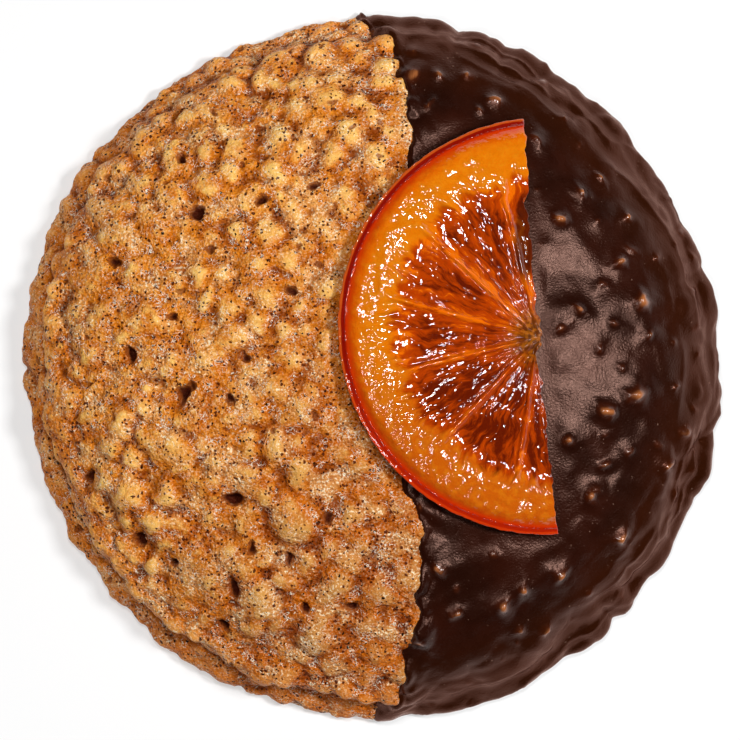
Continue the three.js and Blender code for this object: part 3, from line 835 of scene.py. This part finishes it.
sweep, reach = np.meshgrid(
    np.linspace(0, 1, SLICE_SPOKES + 1), np.linspace(0, 1, SLICE_RINGS + 1)[1:]
)
sweep, reach = np.append(0.5, sweep.ravel()), np.append(0, reach.ravel())
x, y, angle, distance = slice_plan(sweep, reach)
thickness, in_pulp, seam = slice_thickness(angle, distance, x, y)
top = np.stack([x, y, crust_height(x, y) + SLICE_LIFT + thickness], axis=1)
grid = 1 + np.arange(SLICE_RINGS * (SLICE_SPOKES + 1)).reshape(SLICE_RINGS, -1)
near, far = grid[:-1], grid[1:]
quads = [
    np.stack([near[:, :-1], far[:, :-1], far[:, 1:]], axis=-1).reshape(-1, 3),
    np.stack([near[:, :-1], far[:, 1:], near[:, 1:]], axis=-1).reshape(-1, 3),
    np.stack([np.zeros(SLICE_SPOKES, int), grid[0, :-1], grid[0, 1:]], axis=1),
]
loop = np.concatenate([[0], grid[:, 0], grid[-1, 1:-1], grid[::-1, -1]])
outline = top[loop]
middle = np.array([*outline[:, :2].mean(0), 0])
rings = [middle + (outline - middle) * inward for inward in (*BED_RINGS, 0.0)]
for ring in rings:
    ring[:, 2] = crust_height(ring[:, 0], ring[:, 1]) + SLICE_BED
slice_points, slice_triangles = close_below(top, quads, loop, rings[:-1], rings[-1][:1])


def on_slice(values, elsewhere=0.0):
    """Values for the top face, and one value for the rest."""
    return np.concatenate([values, np.full(len(slice_points) - len(values), elsewhere)])


across, along = ((way - spot) / size for way, spot, size in zip((x, y), GLASSY_SPOT, GLASSY_SIZE))
orange = add_piece(
    "candied_slice", slice_points, slice_triangles,
    {
        "to_rind": on_slice(slice_reach(angle) - distance), "pulp": on_slice(in_pulp),
        "seam": on_slice(seam), "from_hub": on_slice(distance, 30.0),
        "sweep": on_slice(angle), "glassy": on_slice(np.exp(-(across**2) - along**2)),
    },
    "orange_slice",
)

# %% [markdown]
# ## Writing finishes as sums
# A finish is a web of nodes, and long webs are hard to read. So a socket is wrapped in
# a small class that understands plus, minus, times and powers, and each operation adds
# its own Math node.

# %% Sockets that can be added and multiplied
class Socket:
    """One output of a node. Arithmetic on it adds Math nodes to the same finish."""

    def __init__(self, finish, output):
        self.finish, self.output = finish, output

    def math(self, operation, first, second):
        return self.finish.node("ShaderNodeMath", {"operation": operation}, [first, second])

    def __add__(self, other):
        return self.math("ADD", self, other)

    def __radd__(self, other):
        return self.math("ADD", other, self)

    def __sub__(self, other):
        return self.math("SUBTRACT", self, other)

    def __rsub__(self, other):
        return self.math("SUBTRACT", other, self)

    def __mul__(self, other):
        return self.math("MULTIPLY", self, other)

    def __rmul__(self, other):
        return self.math("MULTIPLY", other, self)

    def __pow__(self, power):
        return self.math("POWER", self, power)

    def other(self, name):
        """Another output of the same node."""
        return Socket(self.finish, self.output.node.outputs[name])

    def above(self, low, high):
        """0 below low, 1 above high, smooth between; high may be the lower number."""
        values = {"Value": self, "From Min": low, "From Max": high, "To Min": 0.0, "To Max": 1.0}
        return self.finish.node("ShaderNodeMapRange", {"interpolation_type": "SMOOTHSTEP"}, values)


# %% [markdown]
# ## One finish
# A finish is a material with a Principled shader. One method adds every kind of node:
# what kind it is, how it is set, and what goes in. Colours are mixed by a Mix node,
# because a Math node would turn them grey.

# %% A material and its nodes
COLOUR_A, COLOUR_B, COLOUR_RESULT = 6, 7, 2  # sockets of a Mix node that mixes colours


class Finish:
    """One material, with a Principled shader and the nodes that feed it."""

    def __init__(self, name):
        self.material = bpy.data.materials.new(name)
        self.material.use_nodes = True
        self.tree = self.material.node_tree
        self.shader = self.tree.nodes["Principled BSDF"]
        self.place = self.node("ShaderNodeTexCoord", output="Object")

    def feed(self, socket, value):
        if isinstance(value, Socket):
            self.tree.links.new(value.output, socket)
        else:
            socket.default_value = value

    def node(self, kind, settings=None, values=None, output=0):
        """Adds a node: its settings first, then the values or links of its sockets."""
        node = self.tree.nodes.new(kind)
        for key, value in (settings or {}).items():
            setattr(node, key, value)
        pairs = values.items() if isinstance(values, dict) else enumerate(values or [])
        for key, value in pairs:
            self.feed(node.inputs[key], value)
        return Socket(self, node.outputs[output])

    def vector(self, operation, first, second):
        """Vector arithmetic."""
        return self.node("ShaderNodeVectorMath", {"operation": operation}, [first, second])

    def mix(self, share, first, second):
        """A colour between two colours."""
        values = {"Factor": share, COLOUR_A: first, COLOUR_B: second}
        return self.node("ShaderNodeMix", {"data_type": "RGBA"}, values, output=COLOUR_RESULT)

    def layered(self, colour, layers):
        """A colour with others over it, each after the share that it covers."""
        for share, over in layers:
            colour = self.mix(share, colour, over)
        return colour

    def wear(self, piece, **sockets):
        """Sets the shader's sockets, by names with underscores, and puts it on a piece."""
        for name, value in sockets.items():
            self.feed(self.shader.inputs[name.replace("_", " ")], value)
        piece.data.materials.clear()
        piece.data.materials.append(self.material)
        print(f"{piece.name} wears {self.material.name}, {len(self.tree.nodes)} nodes")


def tint(red, green, blue):
    """A colour read off a screen, 0 to 255, as the linear colour that nodes use."""
    def linear(value):
        value = value / 255
        return value / 12.92 if value <= 0.04045 else ((value + 0.055) / 1.055) ** 2.4
    return (linear(red), linear(green), linear(blue), 1.0)


# %% [markdown]
# ## Patterns
# Food is uneven at every size, from blotches to grains of sugar: noise and cells in the
# part's own space, sized in millimetres. A UV map would stretch over the nubs.

# %% Noise, specks and small relief
SPECK_STIR = (0.3, 0.45)


class Patterned(Finish):
    """A finish with measures from the mesh, noise and specks."""

    def measure(self, name):
        """A measure that the mesh carries at its points."""
        return self.node("ShaderNodeAttribute", {"attribute_name": name}, output="Fac")

    def noise(self, size, detail=2.0, roughness=0.5, place=None):
        """Noise from 0 to 1 with features of about size millimetres."""
        values = {
            "Vector": place or self.place, "Scale": 1 / (size * MM),
            "Detail": detail, "Roughness": roughness,
        }
        return self.node("ShaderNodeTexNoise", {}, values)

    def stirred(self, size, amount):
        """The place, pushed about by up to amount millimetres in swirls of a given size."""
        push = self.vector("SUBTRACT", self.noise(size, 2.0).other("Color"), (0.5, 0.5, 0.5))
        return self.vector("ADD", self.vector("MULTIPLY", push, (amount * MM,) * 3), self.place)

    def dots(self, size, radius, kept):
        """Uneven specks in a share of the cells, with sizes up to radius cells."""
        values = {"Vector": self.stirred(*SPECK_STIR), "Scale": 1 / (size * MM)}
        cell = self.node("ShaderNodeTexVoronoi", {"feature": "F1"}, values)
        chance = self.node("ShaderNodeSeparateColor", {}, [cell.other("Color")])
        reach = radius * chance.other("Green") * chance.above(1 - kept, 1 - kept + 0.02)
        return (reach - cell).above(0.0, 0.03)

    def bump(self, height, distance):
        """Small relief, its height times distance millimetres."""
        return self.node("ShaderNodeBump", {}, {"Height": height, "Distance": distance * MM})


# %% [markdown]
# ## Baked crumb
# Nub tops are painted pale and golden, partly the crumb's own colour and partly painted
# highlight, and the creases browner, partly painted shade. The colour is painted darker
# towards the front right, and the wall a warmer, lighter gold, painted light that the
# steep wall lacks. On that lie patches, orange-brown or dusty, and toasted clouds. Each
# is one more mix over the last, from broad to small.

# %% Ground colours of the crumb
crumb = Patterned("baked_crumb")
hollow, pit = crumb.measure("hollow"), crumb.measure("pit")
# pale nub tops are partly painted highlight; browner creases partly painted shade
nub_top, crease = hollow.above(0.05, -0.4), hollow.above(0.0, 0.45)
field = 1 - nub_top
patches = crumb.noise(3.2, 3.0, 0.55)
clouds = (crumb.noise(5.0, 6.0, 0.7) + 0.25 * hollow).above(0.5, 0.64)
rusty = patches.above(0.5, 0.62) * between(0.35, 0.8, field)
dusty = patches.above(0.5, 0.38)
ground = crumb.layered(tint(228, 134, 28), [
    # pale tops: partly the crumb's own colour, partly painted highlight
    (nub_top, tint(248, 194, 102)),
    # painted darker towards the front right
    (crumb.measure("darker_front_right") * 0.7, tint(152, 64, 4)),
    # wall painted a warmer, lighter gold: painted light that the steep wall lacks
    (crumb.measure("wall") * 0.5, tint(246, 130, 24)),
    (rusty, tint(208, 108, 10)),
    (dusty * between(0.15, 0.5, field), tint(234, 176, 110)),
    (clouds * between(0.3, 0.65, field), tint(180, 82, 4)),
])

# %% [markdown]
# ## Grains, spice and glaze
# Close up the crumb is sandy, with ground spice all through it, densest in the toasted
# clouds. Fat and sugar left thin shiny squiggles, painted as pale highlight lines where a
# noise is half way: real gloss there would wash out the dark grains. The walls of the
# pores are painted brown and their depths dark, as painted shade.

# %% Finish of the biscuit
sand = crumb.noise(0.32, 2.0, 0.7) + 0.25 * (crumb.noise(1.4) - 0.5)
pale_sand = sand.above(0.52, 0.66) * between(0.3, 0.95, dusty)
dark_sand = sand.above(0.48, 0.32) * between(0.15, 0.55, field)
pepper = crumb.dots(0.5, 0.5, between(0.5, 0.95, clouds))
flecks = crumb.dots(0.58, 0.32, between(0.45, 0.95, clouds))
squiggle = ((crumb.noise(0.5, 1.0) - 0.5) ** 2).above(0.001, 0.0002)
glint = squiggle * crumb.noise(1.6, 2.0).above(0.52, 0.62) * between(0.5, 1.0, field)
speckled = crumb.layered(ground, [
    (pale_sand, tint(251, 232, 196)),
    (dark_sand, tint(132, 45, 2)),
    # browner creases: partly the crumb's own colour, partly painted shade
    (crease * 0.75, tint(112, 38, 1)),
    (pepper * 0.95, tint(78, 22, 3)),
    (flecks, tint(26, 8, 3)),
    # painted highlight: pale glint squiggles
    (glint * 0.75, tint(252, 248, 228)),
    # pore walls brown and pore depths dark: painted shade in the recesses
    (pit.above(0.02, 0.25) * 0.8, tint(134, 62, 20)),
    (pit.above(0.35, 1.0), tint(66, 20, 8)),
])
crumb.wear(
    biscuit, Base_Color=speckled, Roughness=0.28 + 0.3 * crumb.noise(0.3, 2.0),
    Normal=crumb.bump(crumb.noise(0.45, 2.0, 0.6) * between(0.4, 1.0, field), 0.6),
    Specular_IOR_Level=0.13, Specular_Tint=(1, 0.66, 0.36, 1),
    Subsurface_Weight=0.1, Subsurface_Scale=0.001, Subsurface_Radius=(1.0, 0.45, 0.2),
)

# %% [markdown]
# ## Dark chocolate
# Well tempered chocolate is nearly black-brown with a soft sheen, not a mirror. Nut
# tips are painted orange brown with a brown halo, partly the nut under a thin coat and
# partly painted highlight. On the wall it mirrors the bright floor, and a plain
# reflection there would look grey. A share of Metallic tints it with the base colour
# instead, and keeps it brown; that base colour is browner there, partly its own colour
# and partly a painted warm reflection. Pale specks are partly bloom, partly painted glints.

# %% Finish of the chocolate
dark = Patterned("dark_chocolate")
tip, drained = dark.measure("tip"), dark.measure("drained")
# pale specks: partly bloom on the chocolate, partly painted glints
specks_and_glints = dark.dots(0.6, 0.17, between(0.05, 0.8, dark.noise(4.0).above(0.45, 0.65)))
brown = dark.layered(tint(30, 8, 3), [
    (dark.noise(6.0, 3.0).above(0.3, 0.7), tint(42, 13, 5)),
    # browner on the drained wall: partly its own colour, partly a painted warm reflection
    (drained * 0.55, tint(74, 32, 11)),
    # nut tips: orange brown with a brown halo, partly the nut under a thin coat, partly painted
    # highlight
    ((tip**0.25).above(0.3, 1.0) * 0.35, tint(96, 38, 12)),
    (tip.above(0.3, 1.1) * 0.85, tint(184, 110, 60)),
    (specks_and_glints * 0.6, tint(150, 116, 100)),
])
dark.wear(
    chocolate, Base_Color=brown,
    Metallic=0.5 * drained, Roughness=0.22 + 0.12 * dark.noise(1.5, 4.0) - 0.06 * drained,
    Normal=dark.bump(dark.noise(0.26, 2.0, 0.6), 0.05),
    Specular_IOR_Level=0.31, Specular_Tint=(1, 0.57, 0.45, 1),
    Coat_Weight=0.8 * tip.above(0.1, 0.6), Coat_Roughness=0.12,
)

# %% [markdown]
# ## Candied flesh, pith and rind
# The syrup makes the flesh clear: orange along the membranes, deep red where a pulp sac
# has shrunk, and greenish brown grains at the hub. Noise gives the sacs. Its place is
# sweep and reach instead of a point in space, so it fans out like the fruit. Amber
# pith, red rind and a pale strip at its edge are bands of the distance to the rind; the
# strip is partly the rind's side and partly a painted reflection on it. The bottom half
# is painted darker.

# %% Colours of the slice
fruit = Patterned("candied_orange")
to_rind, pulp, from_hub = (fruit.measure(name) for name in ("to_rind", "pulp", "from_hub"))
lower = fruit.measure("sweep").above(3.1, 3.8)  # the bottom half, painted darker
swirl = fruit.noise(3.0, 2.0) - 0.5
spoke = (fruit.measure("sweep") + 0.2 * swirl) * 0.014
strands = fruit.node("ShaderNodeCombineXYZ", {}, [spoke, from_hub * 0.0002, 0.0])
sac = fruit.noise(0.8, 5.0, 0.68, strands) + 0.25 * (fruit.measure("seam") - 0.3)
sac = sac + 0.4 * swirl + 0.16 * to_rind.above(11.0, 6.5) - 0.1 * lower
grains = fruit.mix(fruit.noise(0.6, 3.0).above(0.4, 0.6), tint(76, 32, 2), tint(166, 94, 12))
flesh = fruit.layered(tint(96, 22, 1), [
    (sac.above(0.3, 0.54), tint(172, 58, 1)),
    (sac.above(0.54, 0.68), tint(224, 104, 3)),
    (from_hub.above(5.5, 1.5) * 0.9, grains),
])
line = fruit.mix(lower, tint(136, 14, 2), tint(172, 30, 2))
# pale strip: partly the rind's side, partly a painted reflection on it
strip = fruit.mix(lower, tint(188, 76, 20), tint(196, 52, 6))
candied = fruit.layered(tint(212, 78, 1), [
    (to_rind.above(1.0, 3.6), tint(212, 112, 4)),
    # painted darker towards the bottom
    (lower * 0.8, tint(184, 80, 8)),
    (fruit.noise(1.0, 4.0).above(0.4, 0.7) * 0.3, tint(226, 138, 20)),
    ((pulp + 0.8 * (0.45 - sac)).above(0.2, 0.8), flesh),
    (fruit.measure("glassy").above(0.2, 0.6) * 0.85, tint(64, 18, 3)),
    (to_rind.above(2.1, 0.9), tint(200, 46, 1)),
    (to_rind.above(1.2, 0.7), line),
    # pale strip at the rind's edge: partly painted reflection
    ((to_rind + 0.3 * fruit.noise(3.0, 2.0)).above(0.55, 0.4), strip),
])

# %% [markdown]
# ## Wet glaze
# Dried syrup is nearly a mirror. A clear coat over a rough body would do, but here the
# whole surface is smooth, and small wrinkles break the light into glints: round ones in
# the pith, threads along the pulp, pimples on the rind.

# %% Finish of the slice
puckered = to_rind.above(0.9, 2.4) * (1 + 0.4 * lower * to_rind.above(5.0, 2.5))
round_wrinkles = 0.16 * fruit.noise(1.1, 0.0) + 0.09 * fruit.noise(0.5, 1.0)
wrinkles = round_wrinkles * (1 - pulp) * puckered
threads = 0.06 * fruit.noise(0.36, 1.0, 0.5, strands) + 0.025 * fruit.noise(0.45, 0.0)
pimples = 0.12 * fruit.noise(0.7, 1.0) * to_rind.above(1.3, 0.8)
bead_line = to_rind.above(0.75, 0.88) * to_rind.above(1.05, 0.88)
beads = 0.06 * bead_line * fruit.noise(0.4, 0.0).above(0.4, 0.6)
fruit.wear(
    orange, Base_Color=candied, Roughness=0.05,
    Normal=fruit.bump(wrinkles + threads * pulp + pimples + beads, 1.0),
    Subsurface_Weight=0.15, Subsurface_Scale=0.0015, Subsurface_Radius=(1.0, 0.35, 0.08),
)

# %% [markdown]
# ## Floor
# The biscuit lies on a plain pale sheet. Lit only from above it would come out grey,
# and more lamps would wash out the chocolate. So the sheet glows faintly, which also
# gives the walls something bright to mirror.

# %% A pale sheet
FLOOR_SIZE = 4.0
bpy.ops.mesh.primitive_plane_add(size=FLOOR_SIZE, location=(0, 0, 0))
floor = bpy.context.object
floor.name = "floor"
paper = Patterned("pale_floor")
mottled = paper.mix(paper.noise(40.0, 2.0), (0.45, 0.45, 0.45, 1), (0.48, 0.48, 0.48, 1))
paper.wear(
    floor, Base_Color=mottled, Roughness=0.9,
    Emission_Color=(1, 1, 1, 1), Emission_Strength=0.46,
)

# %% [markdown]
# ## Lamps and world
# A dome mirrors each lamp where its slope is half the lamp's angle, so the lamps were
# placed by their sheens: the key lamp nearly overhead, a little to the back, the low
# one to the front left, and the right one for the broad sheen beside the slice. The
# world is dim, so that the creases stay dark.

# %% Three soft lamps
LAMPS = [  # name, place in m, side in m, power in W
    ("key", (-0.02, 0.18, 0.75), 0.11, 2.3),
    ("low", (-0.15, -0.2, 0.73), 0.11, 1.0),
    ("right", (0.4, 0.05, 0.66), 0.13, 4.4),
]
LAMP_AIM = Vector((0, 0, 0.01))
WORLD_STRENGTH = 0.02
for name, place, size, power in LAMPS:
    light = bpy.data.lights.new(name, "AREA")
    light.size, light.energy = size, power
    lamp = bpy.data.objects.new(name, light)
    lamp.location = place
    lamp.rotation_euler = (LAMP_AIM - Vector(place)).to_track_quat("-Z", "Y").to_euler()
    bpy.context.scene.collection.objects.link(lamp)
    tilt = math.atan2(math.hypot(*place[:2]), place[2])
    print(f"{name} lamp, {math.degrees(tilt):.0f} degrees from overhead")
world = bpy.data.worlds.new("studio")
bpy.context.scene.world = world
world.use_nodes = True
background = world.node_tree.nodes["Background"]
background.inputs["Color"].default_value = (1, 1, 1, 1)
background.inputs["Strength"].default_value = WORLD_STRENGTH
bpy.context.scene.view_settings.view_transform = "Standard"

# %% [markdown]
# ## Camera
# The camera looks straight down from far off with a long lens, so that the walls don't
# lean outwards. An orthographic camera would be too flat.

# %% Straight overhead
PHOTO_WIDTH, PIXEL_SIZE = 740, 0.13  # pixels, and mm to a pixel at the floor
CAMERA_PLACE = (-0.0002, -0.0002, 1.6)
SENSOR = 36.0
view = bpy.data.cameras.new("camera")
view.sensor_width = SENSOR
view.lens = SENSOR * CAMERA_PLACE[2] / (PHOTO_WIDTH * PIXEL_SIZE * MM)
camera = bpy.data.objects.new("camera", view)
camera.matrix_world = Matrix.Translation(CAMERA_PLACE)
bpy.context.scene.collection.objects.link(camera)
bpy.context.scene.camera = camera
print(f"lens {view.lens:.0f} mm")
